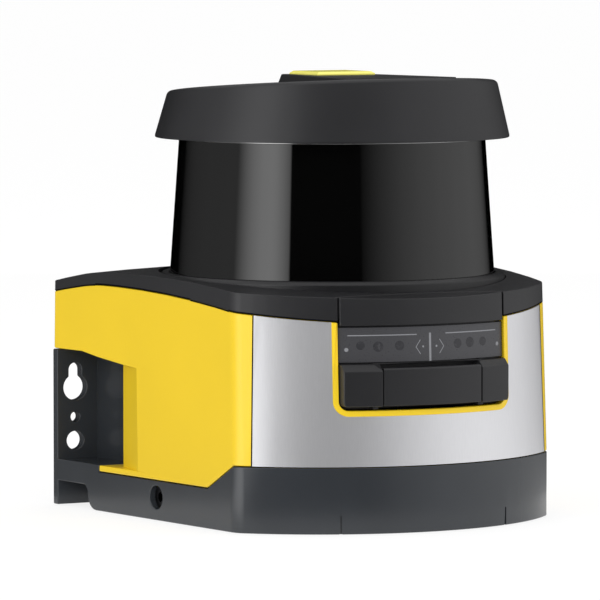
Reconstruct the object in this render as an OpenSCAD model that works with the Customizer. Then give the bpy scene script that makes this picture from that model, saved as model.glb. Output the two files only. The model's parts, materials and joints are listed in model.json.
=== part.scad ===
// Safety laser scanner: a scanning unit that plugs onto a connection unit with two mounting ears.
// Origin: on the mirror axis, in the plane of the base. Front is -Y, the window's zero direction.

/* [Housing outline] */
// Overall width across the mounting ears
body_w = 142; // [134:1:152]
// Distance from the mirror axis to the rear mounting face
back_y = 70.4; // [66:0.2:76]
// Depth of the front ahead of the collar
front_margin = 11.2; // [10.6:0.1:12]
// Centre of the curved front, behind the mirror axis
front_c = 10; // [9:0.5:11]
// Angle at which the side walls open towards the rear
side_flare = 5.9; // [4:0.1:7]
// Radius of the two upright front corners at the base plane
corner_r = 9; // [6:0.2:11]
// Radius of the upright rear corners
rear_corner_r = 1.4; // [1.2:0.2:3]
// Mould draft of the housing's side walls
draft = 0.7; // [0.4:0.1:1.2]
// Mould draft of the curved front
front_draft = 2.1; // [1.2:0.1:2.6]
// Wall thickness of the castings and mouldings
wall = 3; // [2.4:0.2:3.4]

/* [Housing heights] */
// Height of the seam between base and scanning unit at the front
base_front_h = 21.7; // [19:0.5:24]
// Height of the same seam along the sides
base_side_h = 13.2; // [12:0.2:14.6]
// Top of the yellow housing at its highest point
seam_peak = 76.5; // [70:0.5:84]
// Radius of that seam seen from the side
seam_r = 614; // [560:2:700]
// Height of the crowned deck over the top of the yellow housing
deck_rise = 6.8; // [6:0.1:8]
// Radius of the deck along the depth
deck_r = 583; // [540:1:640]
// Radius of the deck's crown across the width
crown_r = 1110; // [900:10:1500]
// Depth at which the deck and the seam break down to the rear
ridge_y = 45; // [42:1:48]
// How much more the deck falls behind the ridge, per millimetre
rear_fall = 0.094; // [0.08:0.002:0.11]
// How much more the seam falls behind the ridge, per millimetre
seam_fall = 0.103; // [0.09:0.002:0.115]
// Length over which both soften into that fall, either side of the ridge
ridge_soft = 7; // [4:0.5:10]
// Gap between parts that meet in a visible joint
joint_gap = 0.3; // [0.2:0.05:0.4]

/* [Mounting ears] */
// Thickness of the rear plate that forms the ears
ear_t = 3.8; // [3:0.2:6]
// Width of each ear beside the tower
ear_w = 15.5; // [14:0.1:17]
// Distance from the side face to the ear holes
ear_hole_in = 7.2; // [6.4:0.1:8]
// Height of the lower ear holes
low_hole_z = 21.7; // [20:0.5:24]
// Diameter of the lower ear holes
low_hole_d = 6.4; // [5.4:0.2:6.8]
// Rise from the lower holes to the small ear holes
small_hole_rise = 8.1; // [7.5:0.1:9]
// Diameter of the small ear holes
small_hole_d = 3.4; // [3:0.2:4.8]
// Rise from the lower holes to the keyholes' round openings
key_rise = 18.2; // [16.5:0.1:20]
// Diameter of the keyholes' round openings
key_d = 8.8; // [8.2:0.2:9.4]
// Width of the keyholes' slots
key_slot_w = 4.8; // [4.2:0.2:5.6]
// Distance from the round opening to the end of the slot's arc centre
key_slot_l = 6.1; // [5:0.1:7]
// Width of metal above the keyholes
ear_rim = 4.8; // [4:0.2:6]

/* [Connection unit] */
// Front face of the rear tower
tower_y = 34; // [32:0.5:36]
// Height of the cable duct under the rear
duct_h = 8.3; // [7:0.1:9]
// Radius at the bottom of the side skin where the duct starts
skirt_r = 5; // [3:0.5:6]
// Thickness of the plate that closes the base
lid_t = 2; // [1.4:0.1:2.4]
// Diameter of the cable grommets
grommet_d = 15; // [13:0.5:17]
// Diameter of the cables that the grommets take
cable_d = 7; // [6:0.5:8]
// Depth position of the lateral fastening screws
lock_y = 4.8; // [2:0.2:8]
// Height of the lateral fastening screws
lock_z = 7.7; // [7.2:0.1:8]
// Diameter of the lateral screw heads
lock_head_d = 7.4; // [6.6:0.1:7.6]

/* [Scanning unit] */
// Where the inward facet of the side starts at the bottom
facet_y = 15.9; // [12:0.5:20]
// Depth of the recess's inner edge below the side face
facet_in = 8.7; // [8:0.1:9.6]
// Tip of the thin lip under the recess
lip_y = 40.1; // [37:0.1:43]
// Thickness of that lip
lip_t = 2; // [1.6:0.1:3]
// Half angle of the silver foil on the curved front
foil_angle = 44.4; // [43:0.2:45]
// Thickness of the foil
foil_t = 0.4; // [0.2:0.05:0.6]
// Half width of the display cut-out
display_x = 31.2; // [30:0.1:33]
// Depth of the display cut-out's lower edge below the deck's peak
display_drop = 43; // [40:0.1:46]
// Width of the yellow rim around the cut-out
rim_w = 1.9; // [1.2:0.1:2.2]
// Radius of the cut-out's lower corners
display_r = 3; // [2:0.25:4]

/* [Display and service port] */
// How far the raised block stands proud of the curved front
block_proud = 2.8; // [2:0.1:3.2]
// Rise from the cut-out's lower edge to the raised block
block_lift = 1.4; // [1.1:0.1:1.7]
// Height of the raised block
block_h = 13.7; // [13:0.1:15]
// Half width of the hinged flap
flap_x = 18.2; // [16:0.1:20]
// Gap between the flap's upper edge and the block's top
flap_gap = 1.2; // [1:0.1:1.6]
// Thickness of the flap
flap_t = 2.2; // [1.8:0.1:2.4]
// Rise from the block's lower edge to the flap's hinge axis
hinge_lift = 2.9; // [2.6:0.1:3.2]
// Depth of the hinge axis behind the curved front
hinge_depth = 2.6; // [2.4:0.1:3]
// Diameter of the hinge pin
pin_d = 1.2; // [1:0.1:1.4]
// Depth of the pocket behind the flap
pocket_depth = 6.9; // [6.5:0.1:8]
// Height of the display window
panel_h = 11.4; // [10.5:0.1:12]

/* [Optics head] */
// Distance from the side face to the collar at the foot of the window
side_margin = 12.8; // [12:0.1:14]
// Width of that collar
collar_w = 3.6; // [3:0.1:4.4]
// Height of the collar above its seat
collar_h = 6.1; // [5.5:0.1:6.6]
// Depth of the seat for collar and window below the deck's peak
seat_drop = 7.8; // [7.4:0.1:8.4]
// Height of the window from its seat to the cap's rim
window_h = 51.4; // [46:0.1:57]
// How much the window's radius shrinks on the way up
window_taper = 3.1; // [2:0.1:4]
// Wall thickness of the window
window_t = 2.5; // [2:0.1:2.8]
// Half angle of the window, either side of the front
window_angle = 137; // [135:1:138]
// Thickness of the gaskets
seal_t = 0.7; // [0.5:0.05:0.8]
// Thickness of the mirror
mirror_t = 2; // [1.5:0.1:2.5]

/* [Cap] */
// How far the cap stands out beyond the foot of the window
cap_overhang = 5; // [4.4:0.1:6]
// How much the cap's radius shrinks towards its upper edge
cap_taper = 3.8; // [3:0.1:5]
// Free height between the motor bell and the cap
cap_room = 2.5; // [2.2:0.1:4]
// Rise of the cap's top towards the front, per millimetre
cap_slope = 0.07; // [0.05:0.005:0.08]
// Radius of the cap's upper edge
cap_edge_r = 1.8; // [1.2:0.1:2.2]
// Height of the raised platform over the cap's top
platform_h = 3.7; // [3.4:0.1:4.4]
// Height of the yellow marker over the platform
marker_h = 1.2; // [0.9:0.1:1.6]
// Half width of the yellow marker
marker_x = 11; // [9:0.25:12]

/* [Drive] */
// Diameter of the mirror shaft
shaft_d = 5; // [4:0.1:5.5]
// Radial clearance between the shaft and its bearings
run_fit = 0.05; // [0.03:0.01:0.08]
// Outer diameter of the ball bearings
bearing_d = 11; // [10:0.1:12]
// Width of the ball bearings
bearing_w = 4; // [3:0.1:4.5]
// Outer diameter of the motor bell
bell_d = 41; // [37:0.5:45]
// Number of stator teeth
teeth = 9; // [6:3:12]
// Radius of the encoder disc
encoder_r = 28; // [25:0.1:31]
// Number of slots in the encoder disc
encoder_slots = 36; // [18:6:48]

/* [Receiver] */
// Diameter of the receiver lens
lens_d = 38; // [34:0.5:42]
// Height of the lens seat over the seat of the window
lens_lift = 0.5; // [0.3:0.1:1]
// Thickness of the lens barrel
barrel_t = 3; // [2.4:0.1:3.6]
// Diameter of the tube that carries the laser beam
beam_d = 8; // [7:0.1:8.4]
// Diameter of the laser module
laser_d = 11; // [10:0.1:12]
// Length of the laser module
laser_l = 16; // [14:0.5:18]
// Thickness of the circuit boards
board_t = 1.6; // [1.2:0.1:1.8]

/* [Hidden] */
eps = 0.01;
cut = 90;
facets = 32;
$fn = 96;

// heights of the housing, from the base plane up
floor_z = base_side_h + joint_gap;
front_floor_z = base_front_h + joint_gap;
recess_floor = floor_z + lip_t + 0.1;
small_hole_z = low_hole_z + small_hole_rise;
key_z = low_hole_z + key_rise;
ear_h = key_z + key_slot_l + key_slot_w / 2 + ear_rim;
ear_gap_z = ear_h + joint_gap;
recess_top = ear_h - 2.8;
lid_z = floor_z - 1 - lid_t;
deck_peak = seam_peak + deck_rise;
shell_top = deck_peak + 0.7;
cover_z = seam_peak - 16.5;
seam_ctr = 35;
deck_ctr = 20.4;

// heights of the display, from the lower edge of its cut-out up
display_z = deck_peak - display_drop;
block_z = display_z + block_lift;
block_top = block_z + block_h;
flap_top = block_top - flap_gap;
hinge_z = block_z + hinge_lift;
usb_z = block_z + 8;
panel_z = block_top + 0.5;
panel_top = panel_z + panel_h;
band_z = panel_top + 2 * joint_gap;

// heights of the optics head, from the window's seat up
seat_z = deck_peak - seat_drop;
collar_top = seat_z + collar_h;
window_top = seat_z + window_h;
plate_z = window_top + 1;
plate_t = 3;
flange_z = plate_z + plate_t;
bell_z = flange_z + 1.9;
bell_top = bell_z + 5.8;
cap_top = bell_top + cap_room + wall;
platform_z = cap_top + platform_h;
marker_z = platform_z + marker_h;

// radii about the mirror axis, and the front they lead to
collar_r = body_w / 2 - side_margin;
window_r = collar_r - collar_w;
window_top_r = window_r - window_taper;
cap_r = window_r + cap_overhang;
cap_top_r = cap_r - cap_taper;
plate_r = cap_r - wall - 1.8;
front_r = front_c + collar_r + front_margin;
front_y = front_c - front_r;
notch_y = -collar_r - 1.8;
block_r = front_r + block_proud - (block_z + block_h / 2 - front_floor_z) * tan(front_draft);
hinge_y = front_c - block_r + hinge_depth;
pocket_y = front_y + pocket_depth;
board_y = pocket_y + 5.1;

// widths and depths of the base
tower_x = body_w / 2 - ear_w;
ear_hole_x = body_w / 2 - ear_hole_in;
facet_x = body_w / 2 - facet_in;
recess_y = tower_y - 1;
rear_wall_y = back_y - ear_t;
duct_y = rear_wall_y - grommet_d - 4.1;
grommet_xy = [22, (duct_y + rear_wall_y) / 2];
diag_y = [-41.4, -26.1];
lug_x = [body_w / 2 - 24, body_w / 2 - 15.8];
lock_seat_x = body_w / 2 - 11.4;
lid_size = [body_w - 54, 66];
lid_y = -5;
post_d = 7;
column_xy = [[body_w / 2 - 21, -27], [body_w / 2 - 25, back_y - 20.4]];
column_d = 8;
bolt_d = 3;
screw_fit = 0.05;

// the drive hangs in a tube from the head plate; the mirror fills the room down to the beam tube
tube_d = bearing_d + 4;
tube_z = plate_z - 3.5;
tube_top = flange_z + 5.7;
holder_top = tube_z - 2.8;
lens_z = seat_z + lens_lift;
beam_top = lens_z + 9;
mirror_r = (holder_top + 0.9 - beam_top - 0.5) / 2;
scan_z = beam_top + 0.5 + mirror_r;

// optics and boards stand on a carrier
carrier_z = floor_z + wall;
carrier_t = 3;
barrel_z = carrier_z + 9.5;
sensor_z = barrel_z + 10;
laser_z = barrel_z + 20;
barrel_d = lens_d + 2 * barrel_t;
hood_r = lens_d / 2 - 1.5;
board_x = body_w / 2 - 27.6;
board_foot = carrier_z + carrier_t;
board_top = seat_z - 9.5;

// ---------- outline: front arc, two rounded corners, flared sides, flat rear ----------

// How far the housing's sides and its curved front have come in at a height.
function inset_at(z) = (z - floor_z) * tan(draft);
function front_inset(z) = (z - front_floor_z) * tan(front_draft);
function side_x(y) = body_w / 2 - (back_y - y) * tan(side_flare);

// Centre of the fillet between a side wall and the front arc, which is set in by f more.
side_n = [-cos(side_flare), sin(side_flare)];
side_u = [sin(side_flare), cos(side_flare)];
corner_p = [body_w / 2, back_y] + side_n * corner_r;
corner_v = corner_p - [0, front_c];
corner_b = corner_v * side_u;
function corner_c(f) = corner_p + side_u * (-corner_b
    - sqrt(corner_b * corner_b - corner_v * corner_v + pow(front_r - corner_r - f, 2)));

function ray(a) = [sin(a), -cos(a)];

// Half of the outline: sides set in by d, the rear by b and the front by f.
function right_half(d, b, f) = let(
        c = corner_c(f - d),
        a = atan2(c[0], front_c - c[1]),
        r = max(corner_r - d, 0.3),
        rr = max(rear_corner_r - min(d, b), 0.8),
        rear_x = side_x(back_y - b - rr) - (d + rr) / cos(side_flare))
    concat(
        [for (i = [0:14]) [0, front_c] + (front_r - f) * ray(a * i / 14)],
        [for (i = [1:6]) c + r * ray(a + (90 - side_flare - a) * i / 6)],
        [for (i = [0:4]) [rear_x, back_y - b - rr]
            + rr * ray(90 - side_flare + (90 + side_flare) * i / 4)]);
function outline(d, b, f) = let(h = right_half(d, b, f), n = len(h))
    concat(h, [for (i = [n - 1:-1:1]) [-h[i][0], h[i][1]]]);

// A solid through rings of equal length; seen from outside, the first ring runs clockwise.
module loft(rings) {
    n = len(rings[0]);
    m = len(rings);
    polyhedron([for (r = rings, p = r) p], concat(
        [[for (i = [0:n - 1]) i]],
        [for (k = [0:m - 2], i = [0:n - 1]) [k * n + i, (k + 1) * n + i, (k + 1) * n + (i + 1) % n]],
        [for (k = [0:m - 2], i = [0:n - 1]) [k * n + i, (k + 1) * n + (i + 1) % n, k * n + (i + 1) % n]],
        [[for (i = [n - 1:-1:0]) (m - 1) * n + i]]), convexity = 4);
}

// The drafted housing between two heights, set in by d all round and by b at the rear.
module drafted(z0, z1, d = 0, b = 0) {
    loft([for (z = [z0, z1]) [for (p = outline(d + inset_at(z), b, d + front_inset(z)))
        [p[0], p[1], z]]]);
}

// The upright base between two heights, set in by d at the front and sides.
module upright(z0, z1, d = 0) {
    translate([0, 0, z0]) linear_extrude(z1 - z0) polygon(outline(d, 0, d));
}

// ---------- profiles that are pushed along X or Y ----------

module along_x(points, w = 2 * cut) {
    rotate([90, 0, 90]) linear_extrude(w, center = true) polygon(points);
}

module along_y(y0, y1) {
    translate([0, y1, 0]) rotate([90, 0, 0]) linear_extrude(y1 - y0) children();
}

module box(x, y, z) {
    translate([x[0], y[0], z[0]]) cube([x[1] - x[0], y[1] - y[0], z[1] - z[0]]);
}

module both() {
    children();
    mirror([1, 0, 0]) children();
}

function seam_arc(y) = seam_peak - seam_r + sqrt(seam_r * seam_r - pow(y - seam_ctr, 2));
function deck_arc(y) = deck_peak - deck_r + sqrt(deck_r * deck_r - pow(y - deck_ctr, 2));

// Distance gone past the ridge, with a soft start.
function past_ridge(y) = y < ridge_y - ridge_soft ? 0 : y > ridge_y + ridge_soft ? y - ridge_y
    : pow(y - ridge_y + ridge_soft, 2) / (4 * ridge_soft);
function seam_z(y) = seam_arc(y) - past_ridge(y) * seam_fall;
function deck_z(y) = deck_arc(y) - past_ridge(y) * rear_fall;
stations = concat([-cut], [for (y = [-60:15:30]) y],
    [for (i = [-1:0.4:1]) ridge_y + i * ridge_soft], [62, 75, cut]);

// Everything below the curved seam, lowered by drop.
module below_seam(drop = 0) {
    along_x(concat([[-cut, -1]], [for (y = stations) [y, seam_z(y) - drop]], [[cut, -1]]));
}

// Everything below the crowned deck, lowered by drop.
module deck_form(drop = 0) {
    loft([for (y = stations) concat([[-cut, y, 20]], [for (x = [-cut:18:cut])
        [x, y, deck_z(y) - drop - x * x / (2 * crown_r)]], [[cut, y, 20]])]);
}

// Everything below the stepped joint between base and scanning unit, raised by up.
module below_joint(up = 0) {
    along_x([[-cut, -1], [-cut, base_front_h + up], [diag_y[0], base_front_h + up],
        [diag_y[1], base_side_h + up], [cut, base_side_h + up], [cut, -1]]);
}

// A ring sector on the curved front between two heights; o and i are measured from the surface.
module front_band(z0, z1, o, i) {
    translate([0, front_c, z0]) difference() {
        cylinder(h = z1 - z0, r1 = front_r - front_inset(z0) + o, r2 = front_r - front_inset(z1) + o);
        translate([0, 0, -eps]) cylinder(h = z1 - z0 + 2 * eps,
            r1 = front_r - front_inset(z0) + i, r2 = front_r - front_inset(z1) + i);
    }
}

// The shape of the display cut-out in front view, drawn in by g.
module display_shape(g = 0) {
    x = display_x - g;
    z = display_z + g;
    r = display_r - g;
    translate([-x, z + r]) square([2 * x, 60]);
    translate([-x + r, z]) square([2 * (x - r), 60]);
    for (s = [-1, 1]) translate([s * (x - r), z + r]) circle(r);
}

module ring(ro, ri, z0, z1) {
    translate([0, 0, z0]) difference() {
        cylinder(h = z1 - z0, r = ro);
        translate([0, 0, -1]) cylinder(h = z1 - z0 + 2, r = ri);
    }
}

// A profile turned about the mirror axis over half angle a either side of direction mid.
module turned(a, mid = 0) {
    rotate([0, 0, mid - 90 - a]) rotate_extrude(angle = 2 * a, $fn = 180) children();
}

// A socket screw standing on its tip: head on top, with a hexagon recess.
module screw(d, l, head_d, head_h) {
    difference() {
        union() {
            cylinder(h = l, d = d);
            translate([0, 0, l]) cylinder(h = head_h, d = head_d);
        }
        translate([0, 0, l + head_h / 2]) cylinder(h = head_h, d = d * 0.9, $fn = 6);
    }
}

// ---------- connection unit ----------

// Keyhole: a round opening below, a slot above it.
module keyhole() {
    translate([0, key_z]) circle(d = key_d);
    translate([-key_slot_w / 2, key_z]) square([key_slot_w, key_slot_l]);
    translate([0, key_z + key_slot_l]) circle(d = key_slot_w);
}

module base_solid() {
    intersection() {
        upright(0, ear_h);
        union() {
            below_joint();
            box([-cut, cut], [lip_y + joint_gap, cut], [0, recess_floor]);
            box([-tower_x, tower_x], [tower_y, cut], [0, ear_h]);
            box([-cut, cut], [rear_wall_y, cut], [0, ear_h]);
        }
    }
}

// Cable duct across the rear, open below, with a rounded roof corner and a rounded skirt.
module cable_duct() {
    r = 3;
    along_x(concat([[rear_wall_y, -1], [rear_wall_y, duct_h]],
        [for (a = [0:15:90]) [duct_y + r - r * sin(a), duct_h - r + r * cos(a)]],
        [for (a = [0:15:90]) [duct_y - skirt_r + skirt_r * cos(a), skirt_r - skirt_r * sin(a)]],
        [[duct_y - skirt_r, -1]]));
}

module connection_base() {
    color("#3f4245") difference() {
        union() {
            difference() {
                base_solid();
                difference() {
                    upright(wall, base_front_h + 1, wall);
                    box([-cut, cut], [duct_y - skirt_r - wall, cut], [-1, cut]);
                }
                box([wall - tower_x, tower_x - wall], [tower_y + wall, rear_wall_y],
                    [duct_h + wall, ear_h - wall]);
                box([-30, 30], [tower_y - 1, tower_y + wall + 1], [duct_h + wall, lid_z + 12]);
            }
            both() box([lug_x[1] + joint_gap, side_x(lock_y) - 1], [lock_y - 6, lock_y + 6],
                [1, base_side_h - 0.1]);
            lid_posts() cylinder(h = lid_z - wall + 1, d = post_d);
            box([-tower_x, tower_x], [tower_y, tower_y + wall], [wall - 1, lid_z - 0.5]);
        }
        cable_duct();
        both() along_y(rear_wall_y - 1, back_y + 1) translate([ear_hole_x, 0]) {
            keyhole();
            translate([0, small_hole_z]) circle(d = small_hole_d);
            translate([0, low_hole_z]) circle(d = low_hole_d);
        }
        lid_posts() translate([0, 0, 1]) cylinder(h = lid_z, d = bolt_d + 2 * screw_fit);
        both() lock_axis() {
            cylinder(h = lock_seat_x + 1, d = 4 + 2 * screw_fit);
            translate([0, 0, lock_seat_x]) cylinder(h = 30, d = lock_head_d + 0.4);
        }
        both() translate([grommet_xy[0], grommet_xy[1], duct_h - 1])
            cylinder(h = wall + 2, d = grommet_d);
        both() translate([grommet_xy[0], grommet_xy[1], duct_h - 3])
            cylinder(h = 3, d = grommet_d + 1.4);
        for (a = [-23, 23]) translate([0, front_c, 0]) rotate([0, 0, a])
            box([-0.3, 0.3], [-front_r - 1, 0.8 - front_r], [-1, 6]);
    }
}

module lid_posts() {
    for (x = [-1, 1], y = [-1, 1])
        translate([x * (lid_size[0] / 2 - 5), lid_y + y * (lid_size[1] / 2 - 5), wall - 1])
            children();
}

// Axis of the right lateral screw, running outward along +X from the middle plane.
module lock_axis() {
    translate([0, lock_y, lock_z]) rotate([0, 90, 0]) children();
}

module base_lid() {
    color("#55585b") difference() {
        translate([-lid_size[0] / 2, lid_y - lid_size[1] / 2, lid_z])
            cube([lid_size[0], lid_size[1], lid_t]);
        lid_posts() cylinder(h = 20, d = bolt_d + 0.4);
        translate([-15.2, -15.2, lid_z - 1]) cube([30.4, 12.4, lid_t + 2]);
    }
}

module lid_screws() {
    l = lid_z + lid_t - wall - 1;
    color("#b9bcc0") lid_posts() translate([0, 0, 2]) screw(bolt_d, l, bolt_d + 2, 0.8);
}

module chip(x, y, w, d, h) {
    translate([x - w / 2, y - d / 2, -eps]) cube([w, d, h + eps]);
}

module connection_board() {
    color("#2f6b45") translate([0, lid_y, wall]) {
        translate([-33, -24, 0]) cube([66, 48, board_t]);
        translate([0, 0, board_t]) {
            chip(-20, 8, 10, 10, 1.5);
            chip(18, 10, 8, 12, 1.5);
            chip(22, -12, 6, 9, 3);
            for (x = [-26:6:-8]) chip(x, -16, 3, 5, 2.2);
        }
    }
}

module config_memory() {
    color("#4a4d50") translate([-8, lid_y + 12, wall + board_t]) {
        cube([12, 9, 3.6]);
        translate([1.5, 1.5, 3.6]) cube([9, 6, 0.8]);
    }
}

// Plug that stands up through the lid into the scanning unit's socket.
module base_plug() {
    z = wall + board_t;
    color("#2b2c2e") translate([-14, -14, z]) difference() {
        cube([28, 10, floor_z + 4 - z]);
        for (x = [3:4:25], y = [3, 7]) translate([x, y, floor_z + 1 - z]) cylinder(h = 9, d = 1.4);
    }
}

module interface_seal() {
    z = lid_z + lid_t;
    color("#1d1e20") translate([0, -9, z]) difference() {
        translate([-19, -10, 0]) cube([38, 20, floor_z - z]);
        translate([-16, -7.5, -1]) cube([32, 15, 4]);
    }
}

// Rubber grommets in the duct's roof, where the cables leave the tower.
module cable_grommets() {
    d = grommet_d;
    i = cable_d / 2;
    r = d / 2 - 0.1;
    color("#1d1e20") both() translate([grommet_xy[0], grommet_xy[1], duct_h]) rotate_extrude()
        polygon([[i, -0.6], [d / 2 + 0.5, -0.6], [d / 2 + 0.5, 0], [r, 0], [r, wall],
            [d / 2 + 1, wall], [d / 2 + 1, wall + 1], [i + 1.2, wall + 1], [i, wall - 0.6]]);
}

module terminal_block() {
    z = duct_h + wall + 1.5;
    color("#d9d6c8") translate([0, tower_y + wall, z]) difference() {
        translate([-24, 0, 0]) cube([48, 9, 14]);
        for (x = [-21:6:21]) {
            translate([x, 4.5, 9]) cylinder(h = 6, d = 3.4);
            translate([x - 1.6, 6, 3]) cube([3.2, 4, 4]);
        }
    }
}

module lock_screws() {
    color("#8e9296") both() lock_axis() translate([0, 0, lug_x[0] + 1])
        screw(4, lock_seat_x - lug_x[0] - 1, lock_head_d, 3);
}

// ---------- scanning unit: housing ----------

// The open corner beside the tower: the mounting ear and its screws stand in it.
module side_recess() {
    both() intersection() {
        translate([0, 0, floor_z + lip_t]) linear_extrude(cut) polygon([
            [side_x(facet_y) - inset_at(recess_floor), facet_y], [facet_x, recess_y],
            [0, recess_y], [0, cut], [cut, cut], [cut, facet_y]]);
        along_x([[facet_y - 1, 0], [facet_y - 1, recess_top - 0.6], [recess_y - 8, recess_top],
            [42, recess_top + 1.7], [52, ear_gap_z], [cut, ear_gap_z], [cut, 0]]);
    }
    box([-cut, cut], [lip_y, cut], [0, floor_z + lip_t + eps]);
    box([-tower_x - joint_gap, tower_x + joint_gap], [tower_y - joint_gap, cut], [0, ear_gap_z]);
}

module columns(grow = 0) {
    for (s = [-1, 1]) {
        translate([s * column_xy[0][0], column_xy[0][1], floor_z])
            cylinder(h = seam_z(column_xy[0][1]) - floor_z - 4, d = column_d + grow);
        translate([s * column_xy[1][0], column_xy[1][1], ear_gap_z])
            cylinder(h = seam_z(column_xy[1][1]) - ear_gap_z - 4, d = column_d + grow);
    }
}

module housing_cavity() {
    difference() {
        intersection() {
            drafted(floor_z, seam_peak + 1, wall, wall);
            along_x([[-cut, front_floor_z + wall], [diag_y[0] + 1, front_floor_z + wall],
                [diag_y[1] + 1, floor_z + wall], [tower_y - joint_gap - wall, floor_z + wall],
                [tower_y - joint_gap - wall, ear_gap_z + wall], [cut, ear_gap_z + wall],
                [cut, cut], [-cut, cut]]);
        }
        both() translate([facet_x - wall - 0.6, facet_y, 0]) cube([20, cut, ear_gap_z + wall]);
        columns();
    }
}

module housing_shell() {
    color("#f2d535") difference() {
        union() {
            difference() {
                intersection() {
                    drafted(floor_z, seam_peak + 1);
                    below_seam();
                }
                below_joint(joint_gap);
                side_recess();
                housing_cavity();
            }
            both() box([lug_x[0], lug_x[1]], [lock_y - 5, lock_y + 5], [4, floor_z + 1]);
        }
        difference() {
            intersection() {
                front_band(front_floor_z - 1, cut, 1, -foil_t);
                foil_sector();
            }
            along_y(-cut, 0) display_shape(-rim_w);
        }
        along_y(-cut, notch_y + 4) display_shape();
        box([-14.2, 14.2], [-14.2, -3.8], [0, 30]);
        both() lock_axis() cylinder(h = lock_seat_x, d = 4 + 2 * screw_fit);
        bolt_axes() {
            cylinder(h = cut, d = bolt_d + 2 * screw_fit);
            translate([0, 0, -1]) cylinder(h = 1.4 + 1, d = bolt_d + 2.6);
        }
    }
}

// The sector of the curved front that carries the foil.
module foil_sector() {
    r = 100;
    translate([0, front_c, 0]) linear_extrude(cut)
        polygon([[0, 0], r * ray(-foil_angle), 2 * r * ray(0), r * ray(foil_angle)]);
}

module front_foil() {
    color("#c9cacd") difference() {
        intersection() {
            front_band(front_floor_z, cut, 0, -foil_t);
            foil_sector();
            below_seam();
        }
        along_y(-cut, 0) display_shape(-rim_w);
    }
}

// The four long bolts start at the housing's underside and end in the deck.
module bolt_axes() {
    for (s = [-1, 1]) {
        translate([s * column_xy[0][0], column_xy[0][1], floor_z]) children();
        translate([s * column_xy[1][0], column_xy[1][1], ear_gap_z]) children();
    }
}

module housing_bolts() {
    color("#b9bcc0") for (s = [-1, 1], i = [0, 1]) {
        z = i == 0 ? floor_z : ear_gap_z;
        l = seam_z(column_xy[i][1]) - z - 1.4;
        translate([s * column_xy[i][0], column_xy[i][1], z + 1.4 + l]) rotate([180, 0, 0])
            screw(bolt_d, l, bolt_d + 2, 1.2);
    }
}

module unit_socket() {
    color("#2b2c2e") difference() {
        union() {
            box([-18, 18], [-17, -1], [carrier_z, carrier_z + 2]);
            box([-16, 16], [-15.5, -2.5], [carrier_z + 2, carrier_z + 6]);
        }
        box([-14.2, 14.2], [-14.2, -3.8], [0, floor_z + 5]);
    }
}

// ---------- deck ----------

module top_cover() {
    color("#3b3c3e") difference() {
        union() {
            difference() {
                intersection() {
                    drafted(cover_z, shell_top);
                    deck_form();
                }
                below_seam(-joint_gap);
                difference() {
                    intersection() {
                        drafted(cover_z, shell_top, wall, wall);
                        deck_form(wall);
                    }
                    translate([0, 0, cover_z]) cylinder(h = cut, r = collar_r + wall);
                }
                box([-display_x, display_x], [-cut, notch_y], [0, cut]);
            }
            deck_bosses();
        }
        translate([0, 0, seat_z]) cylinder(h = 40, r = collar_r + 0.2);
        cylinder(h = cut, r = window_r - 6.6);
        ring(collar_r - wall, 0, cover_z, seat_z - wall);
        for (s = [-1, 1], p = column_xy) translate([s * p[0], p[1], cover_z])
            cylinder(h = seam_z(p[1]) + 1 - cover_z, d = bolt_d + 2 * screw_fit);
    }
}

// Blind bosses that take the long housing bolts.
module deck_bosses() {
    for (s = [-1, 1], p = column_xy) translate([s * p[0], p[1], seam_z(p[1]) - 3.7])
        cylinder(h = deck_z(p[1]) - seam_z(p[1]) + 1.2, d = column_d);
}

// ---------- display and service port ----------

knuckles = [[-8.5, -6.3], [-2.6, 2.6], [6.3, 8.5]];
barrels = [[-6, -2.9], [2.9, 6]];
barrel_r = pin_d / 2 + 0.7;

module hinge_cylinder(x, r) {
    translate([x[0], hinge_y, hinge_z]) rotate([0, 90, 0]) cylinder(h = x[1] - x[0], r = r);
}

// The raised block's body: a curved front that stands proud of the housing.
// Curved band as far proud as the block, t thick, its upper edge chamfered by c.
module block_band(t, z0, z1, c) {
    translate([0, front_c, 0]) rotate_extrude() polygon([[block_r - t, z0], [block_r, z0],
        [block_r, z1 - c], [block_r - c, z1], [block_r - t, z1]]);
}

module display_bezel() {
    x = display_x - joint_gap;
    p = flap_x + 0.4;
    color("#3a3b3d") difference() {
        union() {
            // dark band that carries on the deck's edge above the display
            difference() {
                intersection() {
                    front_band(band_z, cut, 0, -40);
                    deck_form();
                    box([0.4 - x, x - 0.4], [-cut, notch_y - joint_gap], [0, cut]);
                }
                intersection() {
                    front_band(0, cut, -wall, -60);
                    deck_form(wall);
                }
            }
            // flange behind the display window and the block
            intersection() {
                front_band(display_z, band_z + 1.2, -2.2, -4.4);
                along_y(-cut, 0) display_shape(joint_gap);
            }
            // raised wings either side of the flap
            intersection() {
                block_band(6.4, block_z, block_top, 2.2);
                along_y(-cut, 0) display_shape(joint_gap);
                both() box([p, x], [-cut, 0], [0, cut]);
            }
            // walls of the pocket behind the flap
            box([-p - 2, p + 2], [pocket_y - 3.5, pocket_y + 2],
                [display_z + joint_gap, panel_z - 0.2]);
            both() along_y(board_y - 4, board_y) translate([display_x - 6.7, usb_z]) circle(d = 5);
        }
        box([-p, p], [-cut, pocket_y], [0, block_top - 0.2]);
        box([-5, 5], [-cut, 0], [usb_z - 2.5, usb_z + 2.5]);
        box([-x + 3.4, x - 3.4], [-cut, 0], [panel_z + 1.5, panel_top - 1.5]);
    }
    color("#3a3b3d") difference() {
        for (k = knuckles) {
            hinge_cylinder(k, barrel_r);
            box(k, [hinge_y, pocket_y + 1], [hinge_z - 1.1, hinge_z + 1.1]);
        }
        hinge_cylinder([-9, 9], pin_d / 2);
    }
}

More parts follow.
